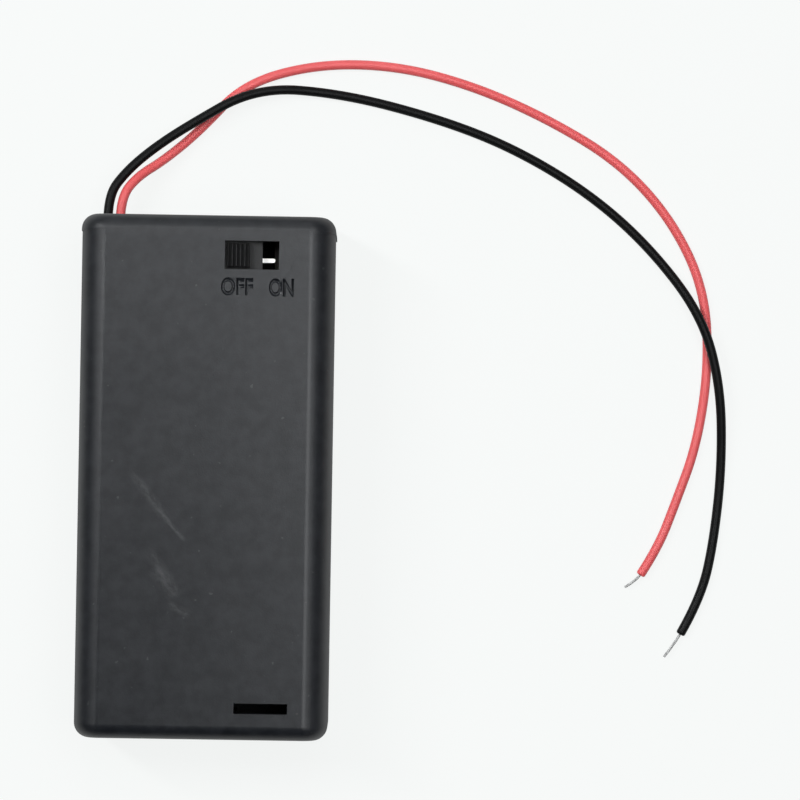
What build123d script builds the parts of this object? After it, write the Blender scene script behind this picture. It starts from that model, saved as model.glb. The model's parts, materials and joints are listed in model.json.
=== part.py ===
from build123d import *
from math import cos, pi, radians, sin, tan
import os

# Holder for two AA cells, millimetres. The switch face is up, the sliding cover is underneath,
# and the leads leave the +Y end. The origin is the middle of the cover's outer face.

# The cells that it takes
cell_dia = 14.5
cell_length = 50.5
cell_gap_side = 0.5
spring_room = 7.0

# Moulded walls
wall = 1.5
face_wall = 1.5
cover_wall = 1.5
divider = 1.0
partition = 1.2
switch_room = 8.1
saddle_rise = 0.75
under_cell = 0.75

# Rounding of the case
side_round = 3.5
end_round = 2.0
end_block = 2.3
case_inset = 0.1
cover_inset = 0.2

# Sliding cover and its rails
skirt = 0.7
skirt_height = 4.8
rail = 0.9
rail_over = 1.0
groove_depth = 0.45
head_thick = 1.7
cover_gap = 0.1
slide_gap = 0.2
lip_reach = 0.35
low_rim = 2.6
tongue_reach = 0.7
tongue_thick = 0.8
tongue_width = 24.0
tongue_root = 1.2
cover_edge_round = 0.5
cover_corner = 2.0

# Thumb grip and arrow in the cover
grip_ridges = 7
grip_pitch = 1.4
grip_width = 13.0
grip_depth = 0.45
grip_from_end = 15.0
arrow_length = 7.0
arrow_width = 6.0
arrow_depth = 0.4
arrow_to_grip = 2.0

# Saddles that the cells lie on
saddle_thick = 1.2
saddle_height = 2.0
saddle_gap = 0.1
saddle_spacing = 28.0
divider_height = 9.5
link_room = 2.0

# Switch
switch_shift = 0.2
window_x = 5.9
window_length = 7.2
window_width = 3.8
knob_length = 3.0
knob_width = 3.1
knob_gap = 0.3
knob_sink = 0.3
knob_chamfer = 0.1
knob_ridges = 5
ridge_pitch = 0.56
ridge_flat = 0.06
ridge_depth = 0.3
flange_overlap = 1.65
flange_width = 5.0
flange_thick = 1.2
flange_gap = 0.1
guide_rib = 0.75
guide_height = 2.45
guide_from_end = 0.5
peg_dia = 1.2
peg_head_dia = 2.2
peg_head_thick = 0.35

# Slot in the face over the cell's button end
slot_length = 7.1
slot_width = 1.4
slot_from_end = 3.6

# Stamped contacts
sheet = 0.4
sheet_gap = 0.1
bend_inside = 0.3
contact_height = 11.0
contact_lift = 0.5
button_plate_width = 9.0
spring_plate_width = 11.0
button_dia = 5.0
button_rise = 0.9
button_round = 0.3
guard_rise = 1.3
guard_rib = 2.4
retain_rib = 3.0
retain_rise = 0.9
rib_low = 4.0
rib_hold = 0.9
tab_width = 4.0
tab_notch = 0.6
tab_overlap = 0.5
off_hook = 2.0
solder_tail = 5.0
landing_drop = 2.5
landing_behind = 1.1
landing_ahead = 0.65
off_landing_length = 6.2
on_landing_length = 4.5
ramp_run = 0.75
ramp_drop = 1.0

# Wiper under the slider
wiper_sheet = 0.2
wiper_width = 0.56
wiper_pad = 3.0
wiper_half_span = 4.8
wiper_nose_in = 1.7
wiper_tip_rise = 0.1
wiper_bend = 0.5
wiper_corner = 0.26
wiper_gap = 0.05
nose_gap = 0.1
wiper_shift = -0.5

# Conical springs
spring_wire = 0.7
spring_base_dia = 8.6
spring_tip_dia = 5.2
spring_free = 8.5
spring_turns = 4.5
spring_flat_turns = 0.5
spring_corners = 6
wire_sides = 8

# Leads
lead_dia = 1.3
conductor_dia = 0.38
lead_pitch = 1.7
lead_inboard = 1.2
lead_height = 5.0
lead_hole_gap = 0.15
solder_size = 1.5

# How the leads are tucked into the switch room, from their hole to the solder tails
lead_run_in = 3.3
lead_turn_y = 0.45
black_turn_x = 1.7
black_turn_z = 1.4
black_swing_x = 4.9
black_swing_z = 3.6
black_tuck_y = 1.75
black_over_x = 3.1
black_over_z = 4.0
black_down_x = 0.2
black_down_y = 1.85
black_down_z = 2.6
black_joint_x = 1.6
black_joint_z = 2.1
red_turn_x = 1.2
red_turn_z = 0.2
red_down_x = 3.0
red_down_y = 2.35
red_down_z = 0.5
red_joint_x = 4.4
red_joint_z = 0.6

# Overlap of shapes that are joined, and the smallest length that counts
merge = 0.15
tiny = 0.001

# Sizes that follow from them
bay_width = cell_dia + cell_gap_side
bay_length = cell_length + spring_room
half_width = divider / 2 + bay_width + wall
case_length = 2 * wall + bay_length + partition + switch_room
case_height = face_wall + saddle_rise + cell_dia + under_cell + cover_wall
inner_half = half_width - wall
ceiling = case_height - face_wall
y_low = -case_length / 2
y_high = case_length / 2
bay_low = y_low + wall
bay_high = bay_low + bay_length
room_low = bay_high + partition
room_high = y_high - wall
room_mid = (room_low + room_high) / 2
switch_y = room_mid + switch_shift
block_low = y_high - end_block
cell_x = divider / 2 + bay_width / 2
cell_z = cover_wall + under_cell + cell_dia / 2
split = skirt_height + slide_gap
rail_low = cover_wall + slide_gap
groove_low = rail_low + head_thick
rail_outer = half_width - cover_inset - skirt - cover_gap
rail_inner = rail_outer - rail
contact_low = cell_z + contact_lift - contact_height / 2
landing_z = ceiling - landing_drop
black_x = -(inner_half - lead_inboard)
red_x = black_x + lead_pitch

# Where the folded strips stand along X
knob_x = window_x - window_length / 2 + knob_gap + knob_length / 2
off_landing_x = knob_x - wiper_half_span - landing_behind
on_landing_x = knob_x + wiper_half_span + landing_ahead
off_tab_x = off_landing_x
on_tab_x = on_landing_x
red_tab_x = -cell_x - tab_width / 2
off_hook_end = contact_low + off_hook
bay_face = bay_high - sheet_gap - sheet / 2
room_face = room_low + sheet_gap + sheet / 2
over_rim = low_rim + tab_notch - sheet_gap - sheet / 2
landing_start = room_face + sheet / 2 + bend_inside
landing_end = switch_y + flange_width / 2 + slide_gap + guide_rib

# Routes of the two free leads, from the case's end wall to where the insulation stops.
# Each bend's arc is worked out from the runs beside it.
black_route = [
    (black_x, y_high, lead_height), (-14.3, 38.2, 5.0), (-12.1, 41.4, 4.4), (-8.8, 44.5, 3.6),
    (-4.1, 47.9, 2.6), (5.5, 53.6, 2.5), (17.2, 53.1, 0.67), (30.1, 50.0, 0.66), (40.8, 46.1, 0.66),
    (51.3, 40.1, 0.66), (59.8, 32.9, 0.66), (67.2, 23.4, 2.4), (70.0, 13.7, 2.4), (70.5, 2.6, 0.66),
    (69.5, -8.0, 0.66), (67.9, -15.5, 0.66), (65.25, -20.35, 0.66),
]
red_route = [
    (red_x, y_high, lead_height), (-12.6, 37.9, 5.0), (-10.5, 40.9, 3.9), (-6.9, 43.4, 2.0),
    (-2.1, 47.7, 0.68), (3.8, 54.2, 0.66), (13.7, 57.1, 0.66), (24.6, 57.1, 0.66), (35.3, 54.5, 0.66),
    (45.9, 50.0, 0.66), (55.8, 44.2, 0.66), (63.0, 36.5, 0.66), (67.7, 27.1, 0.66), (68.5, 16.4, 0.66),
    (67.0, 5.4, 0.66), (64.1, -2.8, 0.66), (61.9, -8.7, 0.66), (59.65, -12.3, 0.66),
]
black_tip = (62.9, -23.8, 0.66)
red_tip = (57.35, -14.3, 0.66)
arc_share = 0.45

# Routes of the stretches inside the case, from the end wall's outer face to the solder tails
black_held_route = [
    (black_x, y_high, lead_height), (black_x, y_high - lead_run_in, lead_height),
    (black_x + black_turn_x, room_mid - lead_turn_y, lead_height + black_turn_z),
    (black_x + black_swing_x, room_mid - black_tuck_y, lead_height + black_swing_z),
    (off_tab_x - black_over_x, room_mid - black_tuck_y, lead_height + black_over_z),
    (off_tab_x + black_down_x, room_mid - black_down_y, lead_height + black_down_z),
]
red_held_route = [
    (red_x, y_high, lead_height), (red_x, y_high - lead_run_in, lead_height),
    (red_x + red_turn_x, room_mid - lead_turn_y, lead_height + red_turn_z),
    (red_x + red_down_x, room_mid - red_down_y, lead_height + red_down_z),
]
tail_face = room_face + sheet / 2
black_joint = (off_tab_x + black_joint_x, tail_face, lead_height + black_joint_z)
red_joint = (red_x + red_joint_x, tail_face, lead_height + red_joint_z)


def block(x0, x1, y0, y1, z0, z1):
    """Box between two corners."""
    return Pos((x0 + x1) / 2, (y0 + y1) / 2, (z0 + z1) / 2) * Box(x1 - x0, y1 - y0, z1 - z0)


def along_y(section, y0, y1):
    """Push a section drawn in X and Z from y0 to y1."""
    return extrude(Plane.XZ.offset(-y0) * section, amount=-(y1 - y0))


def arch(half, top, radius):
    """Section of the case: flat below, its two upper corners round."""
    section = Pos(0, top / 2) * Rectangle(2 * half, top)
    return fillet(section.vertices().group_by(Axis.Y)[-1], radius)


def folded(points, x0, width):
    """Strip of contact sheet folded in Y and Z, its width along X."""
    path = Plane.YZ.offset(x0) * FilletPolyline(*points, radius=bend_inside + sheet / 2)
    start = Plane(path @ 0, x_dir=(1, 0, 0), z_dir=path % 0)
    section = start * Pos(width / 2, 0) * Rectangle(width, sheet)
    return sweep(section, path=path)


def corner_radii(points):
    """Radius of each bend of a lead or a spring, from the runs on both sides of it."""
    radii = []
    for a, b, c in zip(points, points[1:], points[2:]):
        first = Vector(*b) - Vector(*a)
        second = Vector(*c) - Vector(*b)
        half_turn = radians(first.get_angle(second)) / 2
        radii.append(arc_share * min(first.length, second.length) / tan(half_turn))
    return radii


def bent(outline, points):
    """Lead or wire of one outline along straight runs joined by tangent arcs."""
    path = FilletPolyline(*points, radius=corner_radii(points))
    section = Plane(path @ 0, z_dir=path % 0) * outline
    return sweep(section, path=path), path.length


def mirrored(part):
    """The same shape in the other bay or on the other side."""
    return mirror(part, about=Plane.YZ)


def case_shell():
    """Outer form with its rounded long edges and ends, hollow and open below."""
    tray = along_y(arch(half_width - case_inset, case_height, side_round), y_low, y_high - end_round)
    end = tray.faces().sort_by(Axis.Y)[0]
    tray = fillet(end.edges().filter_by(lambda e: e.center().Z > wall), end_round)
    nose = along_y(arch(half_width, case_height, side_round), block_low, y_high)
    end = nose.faces().sort_by(Axis.Y)[-1]
    nose = fillet(end.edges().filter_by(lambda e: e.center().Z > wall), end_round)
    room = along_y(arch(inner_half, ceiling, side_round - wall), bay_low, room_high)
    return tray + nose - room


def under_block_ledge():
    """Floor of the wire end, which the cover's tongue hooks behind."""
    return block(-inner_half, inner_half, block_low, room_high, 0, cover_wall)


def rail_strip():
    """One rail inside the right-hand wall, with the groove that the cover's lip runs in."""
    return block(rail_inner, inner_half + merge, bay_low, block_low, rail_low, split + rail_over)


def cover_clearance():
    """Room that the cover takes out of the tray: its plate, skirts and lips."""
    beyond = half_width + merge
    before = y_low - merge
    outside = block(rail_outer, beyond, before, block_low, -merge, split)
    groove = block(rail_outer - groove_depth, beyond, before, block_low, groove_low, split)
    plate = block(-beyond, beyond, before, block_low, -merge, rail_low)
    behind = block(-beyond, beyond, before, y_low + skirt + cover_gap, -merge, split)
    low_end = block(-rail_inner, rail_inner, before, bay_low, -merge, low_rim)
    return [outside, mirrored(outside), groove, mirrored(groove), plate, behind, low_end]


def cell_saddles():
    """Two low bars across both bays, hollowed to the cells."""
    middle = (bay_low + bay_high) / 2
    bars = []
    for side in (-1, 1):
        y = middle + side * saddle_spacing / 2
        bar = block(-inner_half - merge, inner_half + merge, y - saddle_thick / 2, y + saddle_thick / 2,
                    ceiling - saddle_height, ceiling + merge)
        for x in (-cell_x, cell_x):
            cell = Cylinder(cell_dia / 2 + saddle_gap, 2 * saddle_thick)
            bar = bar - Pos(x, y, cell_z) * Rot(90, 0, 0) * cell
        bars.append(bar)
    return bars


def contact_ribs(x, wall_y, inward, plate_width, rib, rise):
    """Two ribs that stand on an end wall and hold a contact plate by its edges."""
    ribs = []
    reach = wall_y + inward * (sheet_gap * 2 + sheet + rise)
    for side in (-1, 1):
        inner = x + side * (plate_width / 2 - rib_hold)
        outer = inner + side * rib
        ribs.append(block(min(inner, outer), max(inner, outer), min(wall_y, reach), max(wall_y, reach),
                          rib_low, ceiling + merge))
    return ribs


def plate_slot(x0, x1, wall_y, inward):
    """Room that a contact plate needs in the ribs."""
    reach = wall_y + inward * (sheet + 2 * sheet_gap)
    return block(x0 - sheet_gap, x1 + sheet_gap, min(wall_y, reach), max(wall_y, reach),
                 -merge, contact_low + contact_height + sheet_gap)


def through_face(x, y, length, width):
    """Oblong opening through the face wall."""
    return block(x - length / 2, x + length / 2, y - width / 2, y + width / 2,
                 ceiling - merge, case_height + merge)


def case_body():
    """The moulded case, one piece with its bays, divider, partition and switch room."""
    body = case_shell() + under_block_ledge()
    rails = rail_strip()
    body = body + rails + mirrored(rails)
    for bar in cell_saddles():
        body = body + bar
    body = body + block(-divider / 2, divider / 2, bay_low + link_room, bay_high + merge,
                        ceiling - divider_height, ceiling + merge)
    body = body + block(-inner_half - merge, inner_half + merge, bay_high, room_low, low_rim, ceiling + merge)
    for rib in (contact_ribs(cell_x, bay_low, 1, button_plate_width, guard_rib, guard_rise)
                + contact_ribs(-cell_x, bay_low, 1, spring_plate_width, retain_rib, retain_rise)
                + contact_ribs(-cell_x, bay_high, -1, button_plate_width, guard_rib, guard_rise)
                + contact_ribs(cell_x, bay_high, -1, spring_plate_width, retain_rib, retain_rise)):
        body = body + rib
    body = body - plate_slot(-cell_x - spring_plate_width / 2, cell_x + button_plate_width / 2, bay_low, 1)
    body = body - plate_slot(-cell_x - button_plate_width / 2, -cell_x + button_plate_width / 2, bay_high, -1)
    body = body - plate_slot(cell_x - spring_plate_width / 2, cell_x + spring_plate_width / 2, bay_high, -1)
    for x0 in (red_tab_x, off_tab_x, on_tab_x):
        body = body - block(x0 - sheet_gap, x0 + tab_width + sheet_gap, bay_high - merge, room_low + merge,
                            low_rim - merge, low_rim + tab_notch)
    body = body - block(off_tab_x - sheet_gap, off_tab_x + tab_width + sheet_gap,
                        bay_high - sheet - 2 * sheet_gap, bay_high, -merge, off_hook_end + sheet_gap)
    guide_x0 = off_landing_x + guide_from_end
    guide_x1 = on_landing_x + on_landing_length - guide_from_end
    for side in (-1, 1):
        inner = switch_y + side * (flange_width / 2 + slide_gap)
        outer = inner + side * guide_rib
        body = body + block(guide_x0, guide_x1, min(inner, outer), max(inner, outer),
                            ceiling - guide_height, ceiling + merge)
    for cut in cover_clearance():
        body = body - cut
    body = body - through_face(window_x, switch_y, window_length, window_width)
    body = body - through_face(cell_x, y_low + slot_from_end + slot_width / 2, slot_length, slot_width)
    hole = SlotCenterToCenter(lead_pitch, lead_dia + 2 * lead_hole_gap)
    hole = Pos((black_x + red_x) / 2, lead_height) * hole
    return body - along_y(hole, room_high - merge, y_high + merge)


def button_cap(x, y, inward):
    """Raised round button that meets the cell's positive end."""
    cap = Cone(button_dia / 2, button_dia / 2 - button_rise, button_rise)
    cap = fillet(cap.edges().sort_by(Axis.Z)[-1], button_round)
    return Pos(x, y + inward * button_rise / 2, cell_z) * Rot(-90 * inward, 0, 0) * cap


def plate(x, width, wall_y, inward):
    """Flat contact plate that stands against an end wall."""
    near = wall_y + inward * sheet_gap
    far = near + inward * sheet
    return block(x - width / 2, x + width / 2, min(near, far), max(near, far),
                 contact_low, contact_low + contact_height)


def hook(x0, low_end, landing):
    """Strip hooked over the partition, with its tail or its landing in the switch room."""
    points = [(bay_face, low_end), (bay_face, over_rim), (room_face, over_rim)]
    if landing:
        points = points + [(room_face, landing_z - sheet / 2), (landing_end, landing_z - sheet / 2)]
    else:
        points = points + [(room_face, over_rim + solder_tail)]
    return folded(points, x0, tab_width)


def positive_contact():
    """Plate and button of the left cell's positive end, with the red lead's solder tail."""
    body = plate(-cell_x, button_plate_width, bay_high, -1)
    body = body + button_cap(-cell_x, bay_high - sheet_gap - sheet, -1)
    return body + hook(red_tab_x, contact_low + tab_overlap, False)


def negative_contact():
    """Plate of the right cell's negative end, which runs on as the switch's ON contact."""
    body = plate(cell_x, spring_plate_width, bay_high, -1)
    body = body + hook(on_tab_x, contact_low + tab_overlap, True)
    low = landing_z - sheet
    body = body + block(on_landing_x, on_landing_x + on_landing_length, landing_start, landing_end,
                        low, landing_z)
    ramp_slope = (ramp_run ** 2 + ramp_drop ** 2) ** 0.5
    foot_x, foot_z = on_landing_x - ramp_run, landing_z - ramp_drop
    ramp = make_face(Polyline(
        (on_landing_x + merge, landing_z), (on_landing_x, landing_z), (foot_x, foot_z),
        (foot_x + sheet * ramp_drop / ramp_slope, foot_z - sheet * ramp_run / ramp_slope),
        (on_landing_x + merge, low), close=True))
    return body + along_y(ramp, landing_start, landing_end)


def off_contact():
    """Fixed contact under the slider, with the black lead's solder tail."""
    body = hook(off_tab_x, off_hook_end, True)
    return body + block(off_landing_x, off_landing_x + off_landing_length, landing_start, landing_end,
                        landing_z - sheet, landing_z)


def series_link():
    """Plate across both bays that joins the cells, with one button."""
    near = bay_low + sheet_gap
    body = block(-cell_x - spring_plate_width / 2, cell_x + button_plate_width / 2, near, near + sheet,
                 contact_low, contact_low + contact_height)
    return body + button_cap(cell_x, near + sheet, 1)


def conical_spring(x, y, inward):
    """Conical battery spring with a flat coil at each end, its wide end on the contact plate.
    Its wire has few sides, because the coils repeat."""
    r_base = (spring_base_dia - spring_wire) / 2
    r_tip = (spring_tip_dia - spring_wire) / 2
    rising_turns = spring_turns - 2 * spring_flat_turns
    points = []
    for i in range(round(spring_turns * spring_corners) + 1):
        turn = i / spring_corners
        share = min(max((turn - spring_flat_turns) / rising_turns, 0), 1)
        radius = r_base + (r_tip - r_base) * share
        height = (spring_free - spring_wire) * share
        points.append((radius * cos(2 * pi * turn), radius * sin(2 * pi * turn), height))
    coil, length = bent(RegularPolygon(spring_wire / 2, wire_sides), points)
    return Pos(x, y + inward * spring_wire / 2, cell_z) * Rot(-90 * inward, 0, 0) * coil


def sliding_cover():
    """Cover with skirts on three sides, lips in the rails' grooves and a tongue at its front."""
    half = half_width - cover_inset
    front = block_low - cover_gap
    plan = Pos(0, (y_low + front) / 2) * Rectangle(2 * half, front - y_low)
    plan = fillet(plan.vertices().group_by(Axis.Y)[0], cover_corner)
    body = extrude(plan, amount=skirt_height)
    rim = body.faces().sort_by(Axis.Z)[0].edges().filter_by(lambda e: e.center().Y < front - merge)
    body = fillet(rim, cover_edge_round)
    body = body - block(-(half - skirt), half - skirt, y_low + skirt, front + merge,
                        cover_wall, skirt_height + merge)
    lip = block(half - skirt - lip_reach, half - skirt + merge, y_low + skirt - merge, front,
                groove_low + slide_gap, skirt_height)
    body = body + lip + mirrored(lip)
    tongue_low = cover_wall + cover_gap
    root = block(-tongue_width / 2, tongue_width / 2, front - tongue_root, front,
                 cover_wall - merge, tongue_low + tongue_thick)
    tip = block(-tongue_width / 2, tongue_width / 2, front - merge, front + tongue_reach,
                tongue_low, tongue_low + tongue_thick)
    body = body + root + tip
    for i in range(grip_ridges):
        y = y_low + grip_from_end + i * grip_pitch
        body = body - block(-grip_width / 2, grip_width / 2, y, y + grip_pitch / 2, -merge, grip_depth)
    tip_y = y_low + grip_from_end - arrow_to_grip - arrow_length
    neck_y = tip_y + arrow_width / 2
    stem = arrow_width / 6
    arrow = make_face(Polyline(
        (0, tip_y), (arrow_width / 2, neck_y), (stem, neck_y), (stem, tip_y + arrow_length),
        (-stem, tip_y + arrow_length), (-stem, neck_y), (-arrow_width / 2, neck_y), close=True))
    return body - extrude(arrow, amount=arrow_depth)


def switch_slider():
    """Ridged knob on a flange, with the staked peg that carries the wiper."""
    flange_top = ceiling - flange_gap
    flange_low = flange_top - flange_thick
    half = knob_length / 2 + flange_overlap
    body = block(knob_x - half, knob_x + half, switch_y - flange_width / 2, switch_y + flange_width / 2,
                 flange_low, flange_top)
    top = case_height - knob_sink
    knob = block(knob_x - knob_length / 2, knob_x + knob_length / 2,
                 switch_y - knob_width / 2, switch_y + knob_width / 2, flange_low, top)
    knob = chamfer(knob.edges().group_by(Axis.Z)[-1], knob_chamfer)
    for i in range(knob_ridges):
        x = knob_x + (i - (knob_ridges - 1) / 2) * ridge_pitch
        side = (ridge_pitch - ridge_flat) / 2
        groove = make_face(Polyline(
            (x - side, top + merge), (x - side, top), (x, top - ridge_depth), (x + side, top),
            (x + side, top + merge), close=True))
        knob = knob - along_y(groove, switch_y - knob_width, switch_y + knob_width)
    peg_end = flange_low - 2 * wiper_gap - wiper_sheet
    peg = Pos(knob_x, switch_y, (flange_top + peg_end) / 2) * Cylinder(peg_dia / 2, flange_top - peg_end)
    head = Pos(knob_x, switch_y, peg_end - peg_head_thick / 2) * Cylinder(peg_head_dia / 2, peg_head_thick)
    return body + knob + peg + head


def switch_wiper():
    """Sprung strip staked under the slider, its two noses bent down to the fixed contacts."""
    level = ceiling - flange_gap - flange_thick - wiper_gap - wiper_sheet / 2
    nose = landing_z + nose_gap + wiper_sheet / 2
    points = [(knob_x, level), (knob_x + wiper_pad / 2 + wiper_sheet, level),
              (knob_x + wiper_half_span - wiper_nose_in, nose),
              (knob_x + wiper_half_span, nose + wiper_tip_rise)]
    y0 = switch_y + wiper_shift - wiper_width / 2
    path = Plane.XZ.offset(-y0) * FilletPolyline(*points, radius=wiper_bend)
    start = Plane(path @ 0, x_dir=(0, 1, 0), z_dir=path % 0)
    finger = sweep(start * Pos(wiper_width / 2, 0) * Rectangle(wiper_width, wiper_sheet), path=path)
    corners = finger.edges().sort_by(Axis.X).filter_by(lambda e: abs(e.length - wiper_sheet) < tiny)[-2:]
    finger = fillet(corners, wiper_corner)
    other = Pos(2 * knob_x, 0, 0) * mirrored(finger)
    pad = Pos(knob_x, switch_y, level) * Box(wiper_pad, wiper_pad, wiper_sheet)
    return pad + finger + other - Pos(knob_x, switch_y, level) * Cylinder(peg_dia / 2 + wiper_gap, wiper_pad)


def straight(start, direction, length, diameter):
    """Straight round bar from a point."""
    plane = Plane(start, z_dir=direction)
    return extrude(plane * Circle(diameter / 2), amount=length)


def solder_joint(place, bare):
    """Small round mound of solder on a tail, around the lead's bare end."""
    mound = Sphere(solder_size / 2)
    behind = Pos(0, -solder_size / 2, 0) * Box(2 * solder_size, solder_size, 2 * solder_size)
    return Pos(*place) * (mound - behind) - bare


def held_lead(route, joint):
    """Stretch of a lead inside the case: its insulation and the bare end in the solder."""
    tube, length = bent(Circle(lead_dia / 2), route)
    aim = Vector(*joint) + Vector(0, solder_size / 4, 0) - Vector(*route[-1])
    bare = straight(route[-1], aim.normalized(), aim.length, conductor_dia)
    return tube, bare, length


def free_lead(route, tip):
    """Stretch of a lead outside the case: its insulation and the stripped, tinned end."""
    tube, length = bent(Circle(lead_dia / 2), route)
    way = Vector(*tip) - Vector(*route[-1])
    bare = straight(route[-1], way.normalized(), way.length, conductor_dia)
    return tube, bare, length


def check_lead(name, tube, length, route):
    """Print a lead's length, its tube against section times length, and its bends."""
    ratio = tube.volume / (pi * lead_dia ** 2 / 4 * length)
    print(name, "length", round(length, 1), "volume ratio", round(ratio, 4),
          "radii", [round(r, 1) for r in corner_radii(route)])


def all_pieces():
    """Every piece by its name."""
    red_tube, red_end, red_length = free_lead(red_route, red_tip)
    black_tube, black_end, black_length = free_lead(black_route, black_tip)
    red_held, red_core, red_held_length = held_lead(red_held_route, red_joint)
    black_held, black_core, black_held_length = held_lead(black_held_route, black_joint)
    check_lead("red lead", red_tube, red_length, red_route)
    check_lead("black lead", black_tube, black_length, black_route)
    check_lead("red lead held", red_held, red_held_length, red_held_route)
    check_lead("black lead held", black_held, black_held_length, black_held_route)
    return {
        "case_body": case_body(),
        "sliding_cover": sliding_cover(),
        "switch_slider": switch_slider(),
        "switch_wiper": switch_wiper(),
        "off_contact": off_contact(),
        "negative_contact": negative_contact(),
        "negative_spring": conical_spring(cell_x, bay_high - sheet_gap - sheet, -1),
        "positive_contact": positive_contact(),
        "series_link": series_link(),
        "series_spring": conical_spring(-cell_x, bay_low + sheet_gap + sheet, 1),
        "red_lead": red_tube,
        "red_lead_end": red_end,
        "red_lead_held": red_held,
        "red_lead_core": red_core,
        "red_solder": solder_joint(red_joint, red_core),
        "black_lead": black_tube,
        "black_lead_end": black_end,
        "black_lead_held": black_held,
        "black_lead_core": black_core,
        "black_solder": solder_joint(black_joint, black_core),
    }


os.makedirs("parts", exist_ok=True)
for name, piece in all_pieces().items():
    export_step(piece, os.path.join("parts", name + ".step"))
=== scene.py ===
import json
import math

import bpy
from mathutils import Matrix, Vector

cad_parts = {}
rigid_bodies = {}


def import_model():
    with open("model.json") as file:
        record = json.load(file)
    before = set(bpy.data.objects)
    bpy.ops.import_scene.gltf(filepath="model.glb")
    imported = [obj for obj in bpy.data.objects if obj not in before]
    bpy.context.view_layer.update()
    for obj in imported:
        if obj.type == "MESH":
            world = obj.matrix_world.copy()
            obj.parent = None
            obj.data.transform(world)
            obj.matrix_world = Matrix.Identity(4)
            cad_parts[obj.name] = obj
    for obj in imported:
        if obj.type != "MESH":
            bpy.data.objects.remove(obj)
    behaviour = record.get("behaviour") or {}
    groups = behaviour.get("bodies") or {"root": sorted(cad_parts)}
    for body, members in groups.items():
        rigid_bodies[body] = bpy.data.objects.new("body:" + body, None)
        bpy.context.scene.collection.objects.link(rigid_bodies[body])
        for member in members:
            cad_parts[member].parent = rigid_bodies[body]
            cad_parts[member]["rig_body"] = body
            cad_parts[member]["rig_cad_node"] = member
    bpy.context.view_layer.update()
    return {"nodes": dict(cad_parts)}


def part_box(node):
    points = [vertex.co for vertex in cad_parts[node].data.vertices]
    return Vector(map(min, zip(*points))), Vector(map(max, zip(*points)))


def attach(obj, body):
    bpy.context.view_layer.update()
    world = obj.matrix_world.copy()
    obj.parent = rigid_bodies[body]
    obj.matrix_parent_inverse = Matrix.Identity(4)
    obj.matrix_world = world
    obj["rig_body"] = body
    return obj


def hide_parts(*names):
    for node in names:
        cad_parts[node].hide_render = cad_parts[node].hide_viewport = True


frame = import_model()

nodes = frame["nodes"]
mm = 0.001

# Places taken from the frame
face_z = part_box("case_body")[1].z

# Camera, millimetres and degrees, and its picture in pixels
camera_place = (21.79, 2.18, 500.0)
camera_turn = 0.943
camera_tip = 1.0
camera_lean = -0.5
camera_near = 10.0
camera_far = 10000.0
picture_pixels = 800
focal_pixels = 3626.0
sensor_width = 36.0

# Soft boxes: name, place, width and length in metres, and watts
soft_boxes = [
    ("left box", (-0.32, 0.196, 0.55), 0.062, 0.39, 2.2),
    ("right box", (0.146, 0.06, 0.56), 0.45, 0.24, 1.46),
    ("far box", (-0.03, 0.82, 0.573), 0.15, 0.59, 0.92),
]
lamp_colour = (0.965, 0.985, 1.0)

# Dim room, brighter towards one side
bright_way = (0.25, 0.80, 0.55)
bright_from = -0.4
room_dim = 0.05
room_bright = 0.15

# Floor: size in metres, drop in millimetres, its own colour, and what the camera and gloss see of it
floor_size = 3.0
floor_drop = 0.02
floor_colour = (0.80, 0.81, 0.805)
shown_colour = (0.964, 0.982, 0.973)
shown_share = 0.88

# Words sunk into the face with sloping sides: depths and edges in millimetres, slope in font units
mark_depth = 0.36
mark_proud = 0.02
off_word = (1.83, 6.12, 24.12, 26.58)
on_word = (8.20, 11.56, 24.08, 26.55)
word_slope = 0.05
word_spacing = 1.08
word_steps = 4

# Leads, millimetres, and how finely their curves are cut along and around
lead_dia = 1.3
lead_steps = 12
lead_rounds = 6
black_length = 145.1
red_length = 143.4
black_route = [
    (-14.3, 34.9, 5.0), (-14.3, 38.2, 5.0), (-12.1, 41.4, 4.4), (-8.8, 44.5, 3.6), (-4.1, 47.9, 2.6),
    (5.5, 53.6, 2.5), (17.2, 53.1, 0.67), (30.1, 50.0, 0.66), (40.8, 46.1, 0.66), (51.3, 40.1, 0.66),
    (59.8, 32.9, 0.66), (67.2, 23.4, 2.4), (70.0, 13.7, 2.4), (70.5, 2.6, 0.66), (69.5, -8.0, 0.66),
    (67.9, -15.5, 0.66), (65.25, -20.35, 0.66),
]
red_route = [
    (-12.6, 34.9, 5.0), (-12.6, 37.9, 5.0), (-10.5, 40.9, 3.9), (-6.9, 43.4, 2.0), (-2.1, 47.7, 0.68),
    (3.8, 54.2, 0.66), (13.7, 57.1, 0.66), (24.6, 57.1, 0.66), (35.3, 54.5, 0.66), (45.9, 50.0, 0.66),
    (55.8, 44.2, 0.66), (63.0, 36.5, 0.66), (67.7, 27.1, 0.66), (68.5, 16.4, 0.66), (67.0, 5.4, 0.66),
    (64.1, -2.8, 0.66), (61.9, -8.7, 0.66), (59.65, -12.3, 0.66),
]
black_tip = (62.9, -23.8, 0.66)
red_tip = (57.35, -14.3, 0.66)

# Stripped ends, millimetres: strands round a tinned core, the reach of each, their twist and bend
strand_dia = 0.13
strand_ring = 0.115
tinned_dia = 0.33
strand_reach = (1.0, 0.97, 0.99, 0.95, 0.98, 0.96)
strand_turns = 0.4
strand_bend = 0.4
strand_steps = 16
strand_rounds = 3

# Cut ends of the insulation, millimetres, and the shares that pick out the end face and its rim
cut_length = 0.42
cut_round = 0.36
cut_rim = 0.06
cut_hollow = 0.05
cut_sides = 32
cut_steps = 5
end_share = 0.9
rim_share = 0.45

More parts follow.
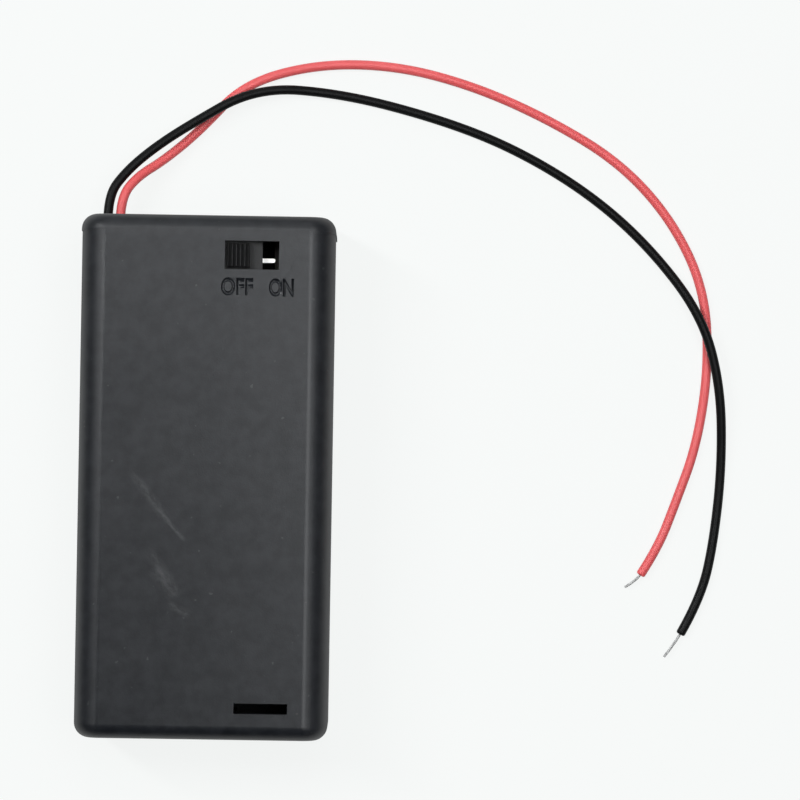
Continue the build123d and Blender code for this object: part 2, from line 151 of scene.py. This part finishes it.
# Battery springs, millimetres, their turns, the points of one turn, and how finely the curve is cut
spring_wire = 0.7
spring_base_radius = 3.62
spring_tip_radius = 2.08
spring_rise = 7.8
spring_turns = 4.5
spring_flat_turns = 0.5
spring_points = 14
spring_steps = 3
spring_rounds = 4

# Largest angles that are shaded smooth, and the largest that counts as flat, degrees
case_smooth = 25
cut_smooth = 40
coil_smooth = 45
flat_angle = 0.2

# How much the broad faces of the case lead its shading, of 100
broad_lead = 100

# Corners nearer to each other than this are joined, millimetres
merge_distance = 0.002

# Zones of the case's finish and the widths of their soft edges, millimetres
flat_half_width = 14.1
flat_wire_end = 33.4
flat_low = 18.6
walls_high = 17.2
flat_fade = 0.4
end_fade = 1.6

# Fine structure of the finishes: marks in a metre, and depths in millimetres
grain_per_metre = 5000.0
grain_depth = 0.012
pit_scale = 0.8
pit_share = 0.3
patches_per_metre = 520.0
cloud_per_metre = 60.0
dust_per_metre = 1200.0
lines_per_metre = 3000.0
lines_depth = 0.004
wave_per_metre = 260.0
wave_depth = 0.02
scrape_per_metre = 1500.0
scrape_stretch = (0.45, 1.0, 0.0)

# Dust and scuffs on the black plastic
patch_rough = 0.012
dust_colour = (0.16, 0.16, 0.16)
dust_share = 0.16
scuff_colour = (0.13, 0.13, 0.135)

# Scuffs: middle in millimetres, turn in degrees, half length and half width in millimetres, strength
face_scuffs = [
    ((-7.1, -2.7), -52.0, 4.6, 0.85, 0.26),
    ((-4.1, -6.5), -48.0, 2.8, 0.38, 0.42),
    ((-5.7, -12.0), -57.0, 3.2, 1.0, 0.2),
    ((-4.8, -13.9), -50.0, 2.8, 1.5, 0.27),
    ((-3.0, -17.6), -26.0, 1.9, 0.7, 0.27),
]


# Steps that shape a mesh


def select_only(*objects):
    """Deselect everything, then select these and make the first active."""
    if bpy.context.object and bpy.context.object.mode != "OBJECT":
        bpy.ops.object.mode_set(mode="OBJECT")
    bpy.ops.object.select_all(action="DESELECT")
    for piece in objects:
        piece.select_set(True)
    bpy.context.view_layer.objects.active = objects[0]


def apply_modifier(piece, kind, **settings):
    """Add a modifier, set it up and apply it."""
    select_only(piece)
    added = piece.modifiers.new(kind.title(), kind)
    for name, value in settings.items():
        setattr(added, name, value)
    bpy.ops.object.modifier_apply(modifier=added.name)


def bake_place(piece):
    """Move a piece's place, turn and size into its mesh."""
    select_only(piece)
    bpy.ops.object.transform_apply(location=True, rotation=True, scale=True)


def merge_doubles(piece):
    """Join the loose corners of a mesh and turn its faces outwards."""
    select_only(piece)
    bpy.ops.object.mode_set(mode="EDIT")
    bpy.ops.mesh.select_all(action="SELECT")
    bpy.ops.mesh.remove_doubles(threshold=merge_distance * mm)
    bpy.ops.mesh.normals_make_consistent(inside=False)
    bpy.ops.object.mode_set(mode="OBJECT")


def dissolve_flat(piece):
    """Turn the triangles of each flat face into one face."""
    select_only(piece)
    bpy.ops.object.mode_set(mode="EDIT")
    bpy.ops.mesh.select_all(action="SELECT")
    bpy.ops.mesh.dissolve_limited(angle_limit=math.radians(flat_angle))
    bpy.ops.object.mode_set(mode="OBJECT")


def clear_selection(piece):
    """Deselect every face, edge and corner of a mesh."""
    for part in (*piece.data.polygons, *piece.data.edges, *piece.data.vertices):
        part.select = False


def smooth_below(piece, angle):
    """Shade a piece smooth where its faces meet at less than an angle in degrees."""
    select_only(piece)
    bpy.ops.object.shade_smooth_by_angle(angle=math.radians(angle))


# Shared effects


def new_group(name, inputs, outputs):
    """Empty shader node group with named inputs and outputs."""
    group = bpy.data.node_groups.new(name, "ShaderNodeTree")
    for label, kind, value in inputs:
        socket = group.interface.new_socket(label, in_out="INPUT", socket_type=kind)
        socket.default_value = value
    for label in outputs:
        group.interface.new_socket(label, in_out="OUTPUT", socket_type="NodeSocketFloat")
    return group, group.nodes.new("NodeGroupInput"), group.nodes.new("NodeGroupOutput")


def noise(tree, vector, scale, detail, rough):
    """Noise texture on the given coordinates."""
    texture = tree.nodes.new("ShaderNodeTexNoise")
    texture.inputs["Detail"].default_value = detail
    texture.inputs["Roughness"].default_value = rough
    if isinstance(scale, (int, float)):
        texture.inputs["Scale"].default_value = scale
    else:
        tree.links.new(scale, texture.inputs["Scale"])
    tree.links.new(vector, texture.inputs["Vector"])
    return texture.outputs["Fac"]


def maths(tree, operation, first, second=None, clamp=False):
    """Maths node on sockets or numbers."""
    node = tree.nodes.new("ShaderNodeMath")
    node.operation = operation
    node.use_clamp = clamp
    for socket, value in zip(node.inputs, (first, second)):
        if value is None:
            continue
        if isinstance(value, (int, float)):
            socket.default_value = value
        else:
            tree.links.new(value, socket)
    return node.outputs[0]


def spread(tree, value, low, high, to_low=0.0, to_high=1.0):
    """Map a value from one range to another, clamped."""
    node = tree.nodes.new("ShaderNodeMapRange")
    for label, number in (("From Min", low), ("From Max", high), ("To Min", to_low), ("To Max", to_high)):
        node.inputs[label].default_value = number
    tree.links.new(value, node.inputs["Value"])
    return node.outputs["Result"]


def grain_group():
    """Fine pitted texture of a spark-eroded mould."""
    group, given, result = new_group("moulded grain", [
        ("Vector", "NodeSocketVector", (0, 0, 0)), ("Grain per metre", "NodeSocketFloat", grain_per_metre),
    ], ["Height"])
    place, scale = given.outputs["Vector"], given.outputs["Grain per metre"]
    cells = group.nodes.new("ShaderNodeTexVoronoi")
    group.links.new(place, cells.inputs["Vector"])
    group.links.new(maths(group, "MULTIPLY", scale, pit_scale), cells.inputs["Scale"])
    pits = maths(group, "MULTIPLY", spread(group, cells.outputs["Distance"], 0.0, 0.7), pit_share)
    fine = maths(group, "MULTIPLY", noise(group, place, scale, detail=3.0, rough=0.65), 1 - pit_share)
    group.links.new(maths(group, "ADD", fine, pits), result.inputs["Height"])
    return group


def handling_group():
    """Soft cloudy marks that hands and packing leave, and a scatter of dust specks."""
    group, given, result = new_group("handling marks", [
        ("Vector", "NodeSocketVector", (0, 0, 0)), ("Cloud per metre", "NodeSocketFloat", cloud_per_metre),
        ("Specks per metre", "NodeSocketFloat", dust_per_metre),
    ], ["Cloud", "Specks"])
    place = given.outputs["Vector"]
    cloud = noise(group, place, given.outputs["Cloud per metre"], detail=4.0, rough=0.6)
    group.links.new(spread(group, cloud, 0.32, 0.68), result.inputs["Cloud"])
    specks = noise(group, place, given.outputs["Specks per metre"], detail=1.0, rough=0.4)
    group.links.new(spread(group, specks, 0.76, 0.82), result.inputs["Specks"])
    return group


def scuff_group():
    """Faint scrape along a line, ragged and fading at its ends."""
    group, given, result = new_group("scuff", [
        ("Vector", "NodeSocketVector", (0, 0, 0)), ("Middle", "NodeSocketVector", (0, 0, 0)),
        ("Turn", "NodeSocketFloat", 0.0), ("Length", "NodeSocketFloat", 10 * mm),
        ("Width", "NodeSocketFloat", 1 * mm),
    ], ["Mask"])
    shift = group.nodes.new("ShaderNodeVectorMath")
    shift.operation = "SUBTRACT"
    group.links.new(given.outputs["Vector"], shift.inputs[0])
    group.links.new(given.outputs["Middle"], shift.inputs[1])
    turn = group.nodes.new("ShaderNodeVectorRotate")
    turn.rotation_type = "Z_AXIS"
    group.links.new(shift.outputs[0], turn.inputs["Vector"])
    group.links.new(given.outputs["Turn"], turn.inputs["Angle"])
    parts = group.nodes.new("ShaderNodeSeparateXYZ")
    group.links.new(turn.outputs[0], parts.inputs[0])
    along = maths(group, "DIVIDE", maths(group, "ABSOLUTE", parts.outputs["X"]), given.outputs["Length"])
    across = maths(group, "DIVIDE", maths(group, "ABSOLUTE", parts.outputs["Y"]), given.outputs["Width"])
    stretch = group.nodes.new("ShaderNodeMapping")
    stretch.inputs["Scale"].default_value = scrape_stretch
    group.links.new(turn.outputs[0], stretch.inputs["Vector"])
    scrape = noise(group, stretch.outputs[0], scrape_per_metre, detail=5.0, rough=0.65)
    ragged = spread(group, scrape, 0.34, 0.68)
    body = maths(group, "MULTIPLY", spread(group, along, 1.0, 0.55), spread(group, across, 1.0, 0.2))
    group.links.new(maths(group, "MULTIPLY", body, ragged), result.inputs["Mask"])
    return group


def zones_group():
    """Masks of the case's flat face between its roundings, and of the walls below them."""
    group, given, result = new_group("case zones", [
        ("Vector", "NodeSocketVector", (0, 0, 0)), ("Half width", "NodeSocketFloat", flat_half_width * mm),
        ("Wire end", "NodeSocketFloat", flat_wire_end * mm), ("Flat low", "NodeSocketFloat", flat_low * mm),
        ("Walls high", "NodeSocketFloat", walls_high * mm), ("Fade", "NodeSocketFloat", flat_fade * mm),
        ("End fade", "NodeSocketFloat", end_fade * mm),
    ], ["Face", "Walls"])
    parts = group.nodes.new("ShaderNodeSeparateXYZ")
    group.links.new(given.outputs["Vector"], parts.inputs[0])

    def faded(high, low, fade):
        """Mask that grows from 0 to 1 as the first value passes the second."""
        return maths(group, "DIVIDE", maths(group, "SUBTRACT", high, low), given.outputs[fade], clamp=True)

    sideways = maths(group, "ABSOLUTE", parts.outputs["X"])
    across = faded(given.outputs["Half width"], sideways, "Fade")
    above = faded(parts.outputs["Z"], given.outputs["Flat low"], "Fade")
    along = faded(given.outputs["Wire end"], parts.outputs["Y"], "End fade")
    flat = maths(group, "MULTIPLY", maths(group, "MULTIPLY", across, above), along)
    below = faded(given.outputs["Walls high"], parts.outputs["Z"], "End fade")
    group.links.new(flat, result.inputs["Face"])
    group.links.new(below, result.inputs["Walls"])
    return group


grain = grain_group()
handling = handling_group()
scuff = scuff_group()
case_zones = zones_group()


# Finishes


def new_material(name):
    """Material with a Principled shader and Object coordinates."""
    material = bpy.data.materials.new(name)
    material.use_nodes = True
    tree = material.node_tree
    shader = tree.nodes["Principled BSDF"]
    place = tree.nodes.new("ShaderNodeTexCoord").outputs["Object"]
    return material, tree, shader, place


def use_group(tree, group, vector, **values):
    """Place a shared effect in a material with its own values."""
    node = tree.nodes.new("ShaderNodeGroup")
    node.node_tree = group
    tree.links.new(vector, node.inputs["Vector"])
    for label, value in values.items():
        node.inputs[label].default_value = value
    return node


def mix_colour(tree, mask, first, second):
    """Mix two colours by a mask."""
    node = tree.nodes.new("ShaderNodeMix")
    node.data_type = "RGBA"
    tree.links.new(mask, node.inputs["Factor"])
    for socket, value in ((node.inputs[6], first), (node.inputs[7], second)):
        if isinstance(value, tuple):
            socket.default_value = (*value, 1.0)
        else:
            tree.links.new(value, socket)
    return node.outputs[2]


def bump(tree, shader, height, depth, strength):
    """Bump from a height, as deep as given in millimetres, into the shader's normal."""
    node = tree.nodes.new("ShaderNodeBump")
    node.inputs["Distance"].default_value = depth * mm
    node.inputs["Strength"].default_value = strength
    tree.links.new(height, node.inputs["Height"])
    tree.links.new(node.outputs["Normal"], shader.inputs["Normal"])


def scuffed(tree, place, colour, on_face):
    """Colour with the scuffs of the face over it."""
    for (x, y), turn, length, width, strength in face_scuffs:
        node = use_group(tree, scuff, place, Middle=(x * mm, y * mm, face_z), Turn=-math.radians(turn),
                         Length=length * mm, Width=width * mm)
        mask = maths(tree, "MULTIPLY", maths(tree, "MULTIPLY", node.outputs["Mask"], on_face), strength)
        colour = mix_colour(tree, mask, colour, scuff_colour)
    return colour


def moulded_black(name, dark, pale, rough_low, rough_high, face_rough=0.0, wall_rough=0.0):
    """Black moulded plastic: fine grain, mottled sheen, cloudy handling marks and dust.

    Where the flat face and the walls differ in roughness, the face also has its scuffs.
    """
    material, tree, shader, place = new_material(name)
    marks = use_group(tree, handling, place)
    texture = use_group(tree, grain, place)
    patches = spread(tree, noise(tree, place, patches_per_metre, detail=4.0, rough=0.6), 0.36, 0.64)
    colour = mix_colour(tree, patches, dark, pale)
    rough = spread(tree, marks.outputs["Cloud"], 0.0, 1.0, rough_low, rough_high)
    rough = maths(tree, "ADD", rough, maths(tree, "MULTIPLY", patches, patch_rough))
    if face_rough or wall_rough:
        zones = use_group(tree, case_zones, place)
        for mask, change in ((zones.outputs["Face"], face_rough), (zones.outputs["Walls"], wall_rough)):
            rough = maths(tree, "ADD", rough, maths(tree, "MULTIPLY", mask, change), clamp=True)
        colour = scuffed(tree, place, colour, zones.outputs["Face"])
    dust = maths(tree, "MULTIPLY", marks.outputs["Specks"], dust_share)
    tree.links.new(mix_colour(tree, dust, colour, dust_colour), shader.inputs["Base Color"])
    tree.links.new(rough, shader.inputs["Roughness"])
    bump(tree, shader, texture.outputs["Height"], grain_depth, strength=0.6)
    return material


def bright_metal(name, tint, dull_tint, rough_low, rough_high, brush=(1.0, 1.0, 1.0)):
    """Plated metal with faint rolling lines and dull clouds."""
    material, tree, shader, place = new_material(name)
    stretch = tree.nodes.new("ShaderNodeMapping")
    stretch.inputs["Scale"].default_value = brush
    tree.links.new(place, stretch.inputs["Vector"])
    lines = noise(tree, stretch.outputs[0], lines_per_metre, detail=3.0, rough=0.6)
    marks = use_group(tree, handling, place)
    tree.links.new(mix_colour(tree, marks.outputs["Cloud"], tint, dull_tint), shader.inputs["Base Color"])
    tree.links.new(spread(tree, lines, 0.3, 0.7, rough_low, rough_high), shader.inputs["Roughness"])
    shader.inputs["Metallic"].default_value = 1.0
    bump(tree, shader, lines, lines_depth, strength=0.5)
    return material


def lead_insulation(name, colour, shade, rough_low, rough_high, gloss):
    """Extruded soft insulation: slight waviness and a faint bloom."""
    material, tree, shader, place = new_material(name)
    marks = use_group(tree, handling, place)
    wave = noise(tree, place, wave_per_metre, detail=1.0, rough=0.4)
    shader.inputs["Specular IOR Level"].default_value = gloss
    tree.links.new(mix_colour(tree, marks.outputs["Cloud"], colour, shade), shader.inputs["Base Color"])
    tree.links.new(spread(tree, wave, 0.3, 0.7, rough_low, rough_high), shader.inputs["Roughness"])
    bump(tree, shader, wave, wave_depth, strength=0.12)
    return material


def make_materials():
    """Every finish of the object by its name."""
    return {
        "case": moulded_black("case black", (0.0040, 0.0054, 0.0080), (0.0112, 0.0128, 0.0164), 0.44, 0.47,
                              face_rough=-0.15, wall_rough=0.22),
        "cover": moulded_black("cover black", (0.0060, 0.0074, 0.0102), (0.0092, 0.0106, 0.0140),
                               0.66, 0.69),
        "knob": moulded_black("knob black", (0.004, 0.004, 0.0045), (0.007, 0.007, 0.0075), 0.50, 0.60),
        "contact": bright_metal("nickelled strip", (0.74, 0.72, 0.68), (0.60, 0.58, 0.54), 0.30, 0.46,
                                brush=(1.0, 1.0, 0.08)),
        "wiper": bright_metal("wiper strip", (0.93, 0.92, 0.90), (0.86, 0.85, 0.82), 0.36, 0.48,
                              brush=(0.08, 1.0, 1.0)),
        "spring": bright_metal("spring wire", (0.70, 0.69, 0.66), (0.56, 0.55, 0.53), 0.24, 0.36),
        "strands": bright_metal("tinned strands", (0.60, 0.60, 0.595), (0.54, 0.54, 0.535), 0.62, 0.70),
        "solder": bright_metal("solder", (0.78, 0.79, 0.80), (0.62, 0.63, 0.65), 0.12, 0.26),
        "red": lead_insulation("red insulation", (0.86, 0.11, 0.115), (0.92, 0.14, 0.145), 0.39, 0.47,
                               gloss=0.5),
        "black": lead_insulation("black insulation", (0.003, 0.0032, 0.0034), (0.0052, 0.0054, 0.0056),
                                 0.39, 0.47, gloss=0.14),
    }


# Pieces


def dress_node(node, finish):
    """Give a CAD node its finish."""
    node.data.materials.clear()
    node.data.materials.append(finish)


def sunk_word(text, box):
    """Word as a closed solid, widest just above the face and narrower at its sunk floor."""
    x0, x1, y0, y1 = (v * mm for v in box)
    bpy.ops.object.select_all(action="DESELECT")
    bpy.ops.object.text_add(location=(0, 0, 0))
    word = bpy.context.object
    word.data.body = text
    word.data.space_character = word_spacing
    word.data.resolution_u = word_steps
    word.data.bevel_depth = word_slope
    word.data.bevel_resolution = 0
    select_only(word)
    bpy.ops.object.convert(target="MESH")
    low = [min(v.co[i] for v in word.data.vertices) for i in range(3)]
    high = [max(v.co[i] for v in word.data.vertices) for i in range(3)]
    word.scale = ((x1 - x0) / (high[0] - low[0]), (y1 - y0) / (high[1] - low[1]),
                  (mark_depth + mark_proud) * mm / word_slope)
    word.location = (x0 - low[0] * word.scale.x, y0 - low[1] * word.scale.y, face_z + mark_proud * mm)
    bake_place(word)
    merge_doubles(word)
    return word


def dressed_case(finish):
    """Case with the switch's words sunk into its face."""
    case = nodes["case_body"].copy()
    case.data = nodes["case_body"].data.copy()
    case.name = "case_with_marks"
    case.parent = None
    bpy.context.scene.collection.objects.link(case)
    merge_doubles(case)
    dissolve_flat(case)
    for cutter in (sunk_word("OFF", off_word), sunk_word("ON", on_word)):
        apply_modifier(case, "BOOLEAN", operation="DIFFERENCE", object=cutter, solver="EXACT")
        bpy.data.objects.remove(cutter)
    smooth_below(case, case_smooth)
    apply_modifier(case, "WEIGHTED_NORMAL", weight=broad_lead, keep_sharp=True)
    dress_node(case, finish)
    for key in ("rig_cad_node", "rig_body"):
        if key in case:
            del case[key]
    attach(case, "case")
    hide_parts("case_body")


def lead(name, route, finish):
    """Free lead as one smooth curve on its route."""
    curve = bpy.data.curves.new(name, "CURVE")
    curve.dimensions = "3D"
    curve.resolution_u = lead_steps
    curve.bevel_depth = lead_dia / 2 * mm
    curve.bevel_resolution = lead_rounds
    curve.use_fill_caps = True
    line = curve.splines.new("NURBS")
    line.points.add(len(route) - 1)
    for point, place in zip(line.points, route):
        point.co = (*(c * mm for c in place), 1.0)
    line.order_u = 3
    line.use_endpoint_u = True
    piece = bpy.data.objects.new(name, curve)
    bpy.context.scene.collection.objects.link(piece)
    curve.materials.append(finish)
    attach(piece, "case")
    return piece


def bare_end(name, route, tip, finish):
    """Tinned strands laid round a core that the tin fills, bent from the lead's end to their tip."""
    start, end = Vector(route[-1]) * mm, Vector(tip) * mm
    forward = (Vector(route[-1]) - Vector(route[-2])).normalized()
    middle = start + forward * (end - start).length * strand_bend
    curve = bpy.data.curves.new(name, "CURVE")
    curve.dimensions = "3D"
    curve.bevel_depth = strand_dia / 2 * mm
    curve.bevel_resolution = strand_rounds
    curve.use_fill_caps = True
    strands = [(reach, strand_ring * mm, 1.0) for reach in strand_reach]
    core = (1.0, 0.0, tinned_dia / strand_dia)
    for i, (reach, ring, thick) in enumerate([*strands, core]):
        line = curve.splines.new("POLY")
        line.points.add(strand_steps)
        for step, point in enumerate(line.points):
            t = reach * step / strand_steps
            centre = start * (1 - t) ** 2 + middle * 2 * t * (1 - t) + end * t ** 2
            along = ((middle - start) * (1 - t) + (end - middle) * t).normalized()
            side = along.cross(Vector((0, 0, 1))).normalized()
            lift = side.cross(along)
            turn = 2 * math.pi * (strand_turns * t + i / len(strands))
            point.co = (*(centre + (side * math.cos(turn) + lift * math.sin(turn)) * ring), 1.0)
            point.radius = thick
    piece = bpy.data.objects.new(name, curve)
    bpy.context.scene.collection.objects.link(piece)
    curve.materials.append(finish)
    select_only(piece)
    bpy.ops.object.convert(target="MESH")
    bpy.ops.object.shade_smooth()
    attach(piece, "case")
    return piece


def cut_end(name, route, finish):
    """Cut end of a lead's insulation, its rim rounded and its face drawn in round the wire."""
    forward = (Vector(route[-1]) - Vector(route[-2])).normalized()
    bpy.ops.object.select_all(action="DESELECT")
    bpy.ops.mesh.primitive_cylinder_add(vertices=cut_sides, radius=lead_dia / 2 * mm, depth=cut_length * mm,
                                        location=(0, 0, cut_length / 2 * mm))
    piece = bpy.context.object
    piece.name = name
    bake_place(piece)
    top = cut_length * end_share * mm
    clear_selection(piece)
    for side in piece.data.polygons:
        side.select = side.center.z > top
    bpy.ops.object.mode_set(mode="EDIT")
    bpy.ops.mesh.select_mode(type="FACE")
    bpy.ops.mesh.inset(thickness=(cut_round + cut_rim) * mm)
    bpy.ops.transform.translate(value=(0, 0, -cut_hollow * mm))
    bpy.ops.object.mode_set(mode="OBJECT")
    clear_selection(piece)
    corners = piece.data.vertices
    for edge in piece.data.edges:
        edge.select = all(corners[i].co.z > top and corners[i].co.xy.length > lead_dia * rim_share * mm
                          for i in edge.vertices)
    bpy.ops.object.mode_set(mode="EDIT")
    bpy.ops.mesh.select_mode(type="EDGE")
    bpy.ops.mesh.bevel(offset=cut_round * mm, segments=cut_steps, affect="EDGES")
    bpy.ops.object.mode_set(mode="OBJECT")
    merge_doubles(piece)
    smooth_below(piece, cut_smooth)
    piece.rotation_euler = forward.to_track_quat("Z", "Y").to_euler()
    piece.location = Vector(route[-1]) * mm
    bake_place(piece)
    piece.data.materials.append(finish)
    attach(piece, "case")
    return piece


def make_leads(finishes):
    """Both free leads with their stripped ends."""
    for colour, route, length, tip in (("black", black_route, black_length, black_tip),
                                       ("red", red_route, red_length, red_tip)):
        strands = bare_end(colour + "_strands", route, tip, finishes["strands"])
        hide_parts(colour + "_lead_end")
        end = cut_end(colour + "_cut_end", route, finishes[colour])
        cord = lead(colour + "_insulation", route, finishes[colour])
        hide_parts(colour + "_lead")


def coil_spring(node, inward, finish):
    """Conical battery spring of round wire, with a flat coil at each end, in place of its node."""
    low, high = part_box(node)
    centre_x, centre_z = (low.x + high.x) / 2, (low.z + high.z) / 2
    base_y = (low.y if inward > 0 else high.y) + inward * spring_wire / 2 * mm
    bpy.ops.object.select_all(action="DESELECT")
    bpy.ops.curve.primitive_nurbs_path_add(location=(0, 0, 0))
    piece = bpy.context.object
    piece.name = node + "_coil"
    curve = piece.data
    curve.splines.clear()
    line = curve.splines.new("NURBS")
    line.points.add(round(spring_turns * spring_points))
    for i, point in enumerate(line.points):
        turn = i / spring_points
        share = min(max((turn - spring_flat_turns) / (spring_turns - 2 * spring_flat_turns), 0), 1)
        radius = spring_base_radius + (spring_tip_radius - spring_base_radius) * share
        angle = 2 * math.pi * turn
        point.co = (centre_x + radius * math.cos(angle) * mm, base_y + inward * spring_rise * share * mm,
                    centre_z - inward * radius * math.sin(angle) * mm, 1.0)
    line.order_u = 4
    line.use_endpoint_u = True
    curve.resolution_u = spring_steps
    curve.bevel_depth = spring_wire / 2 * mm
    curve.bevel_resolution = spring_rounds
    curve.use_fill_caps = True
    bpy.ops.object.convert(target="MESH")
    smooth_below(piece, coil_smooth)
    piece.data.materials.append(finish)
    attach(piece, "case")
    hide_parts(node)


def dress_nodes(finishes):
    """Finishes of the CAD nodes that stay."""
    for finish, names in {
        "cover": ["sliding_cover"],
        "knob": ["switch_slider"],
        "contact": ["off_contact", "negative_contact", "positive_contact", "series_link"],
        "wiper": ["switch_wiper"],
        "red": ["red_lead_held"],
        "black": ["black_lead_held"],
        "strands": ["red_lead_core", "black_lead_core"],
        "solder": ["red_solder", "black_solder"],
    }.items():
        for name in names:
            dress_node(nodes[name], finishes[finish])


# Floor, lights and camera


def make_floor():
    """Plain pale floor that shows white and keeps a soft shadow."""
    bpy.ops.object.select_all(action="DESELECT")
    bpy.ops.mesh.primitive_plane_add(size=floor_size, location=(0, 0, -floor_drop * mm))
    floor = bpy.context.object
    floor.name = "floor"
    material = bpy.data.materials.new("pale floor")
    material.use_nodes = True
    tree = material.node_tree
    tree.nodes.clear()
    out = tree.nodes.new("ShaderNodeOutputMaterial")
    matt = tree.nodes.new("ShaderNodeBsdfDiffuse")
    matt.inputs["Color"].default_value = (*floor_colour, 1.0)
    shown = tree.nodes.new("ShaderNodeEmission")
    shown.inputs["Color"].default_value = (*shown_colour, 1.0)
    path = tree.nodes.new("ShaderNodeLightPath").outputs
    seen = maths(tree, "ADD", path["Is Camera Ray"], path["Is Glossy Ray"])
    seen = maths(tree, "ADD", seen, path["Is Transmission Ray"], clamp=True)
    mix = tree.nodes.new("ShaderNodeMixShader")
    tree.links.new(maths(tree, "MULTIPLY", seen, shown_share), mix.inputs["Fac"])
    tree.links.new(matt.outputs[0], mix.inputs[1])
    tree.links.new(shown.outputs[0], mix.inputs[2])
    tree.links.new(mix.outputs[0], out.inputs["Surface"])
    floor.data.materials.append(material)


def softbox(name, place, width, length, power):
    """Soft rectangular lamp that looks at the middle of the floor."""
    lamp = bpy.data.lights.new(name, "AREA")
    lamp.shape = "RECTANGLE"
    lamp.size = width
    lamp.size_y = length
    lamp.energy = power
    lamp.color = lamp_colour
    stand = bpy.data.objects.new(name, lamp)
    stand.location = place
    stand.rotation_euler = (-Vector(place)).to_track_quat("-Z", "Y").to_euler()
    bpy.context.scene.collection.objects.link(stand)


def make_lights():
    """Two soft boxes beside the camera, one beyond the wire end, and a dim room."""
    for box in soft_boxes:
        softbox(*box)
    world = bpy.data.worlds.new("room")
    bpy.context.scene.world = world
    world.use_nodes = True
    tree = world.node_tree
    back = tree.nodes["Background"]
    back.inputs["Color"].default_value = (1.0, 1.0, 1.0, 1.0)
    towards = tree.nodes.new("ShaderNodeVectorMath")
    towards.operation = "DOT_PRODUCT"
    towards.inputs[1].default_value = bright_way
    tree.links.new(tree.nodes.new("ShaderNodeTexCoord").outputs["Generated"], towards.inputs[0])
    strength = spread(tree, towards.outputs["Value"], bright_from, 1.0, room_dim, room_bright)
    tree.links.new(strength, back.inputs["Strength"])


def make_camera():
    """Camera nearly straight above, as in the photograph."""
    lens = bpy.data.cameras.new("camera")
    lens.sensor_width = sensor_width
    lens.lens = focal_pixels / picture_pixels * sensor_width
    lens.clip_start = camera_near * mm
    lens.clip_end = camera_far * mm
    camera = bpy.data.objects.new("camera", lens)
    turn = Matrix.Rotation(math.radians(camera_turn), 4, "Z")
    tip = Matrix.Rotation(math.radians(camera_tip), 4, "X")
    lean = Matrix.Rotation(math.radians(camera_lean), 4, "Y")
    camera.matrix_world = Matrix.Translation(Vector(camera_place) * mm) @ (turn @ tip @ lean)
    bpy.context.scene.collection.objects.link(camera)
    bpy.context.scene.camera = camera


# The whole scene
finishes = make_materials()
make_camera()
make_lights()
make_floor()
make_leads(finishes)
dress_nodes(finishes)
dressed_case(finishes["case"])
coil_spring("negative_spring", -1, finishes["spring"])
coil_spring("series_spring", 1, finishes["spring"])

bpy.context.scene.view_settings.view_transform = "Standard"
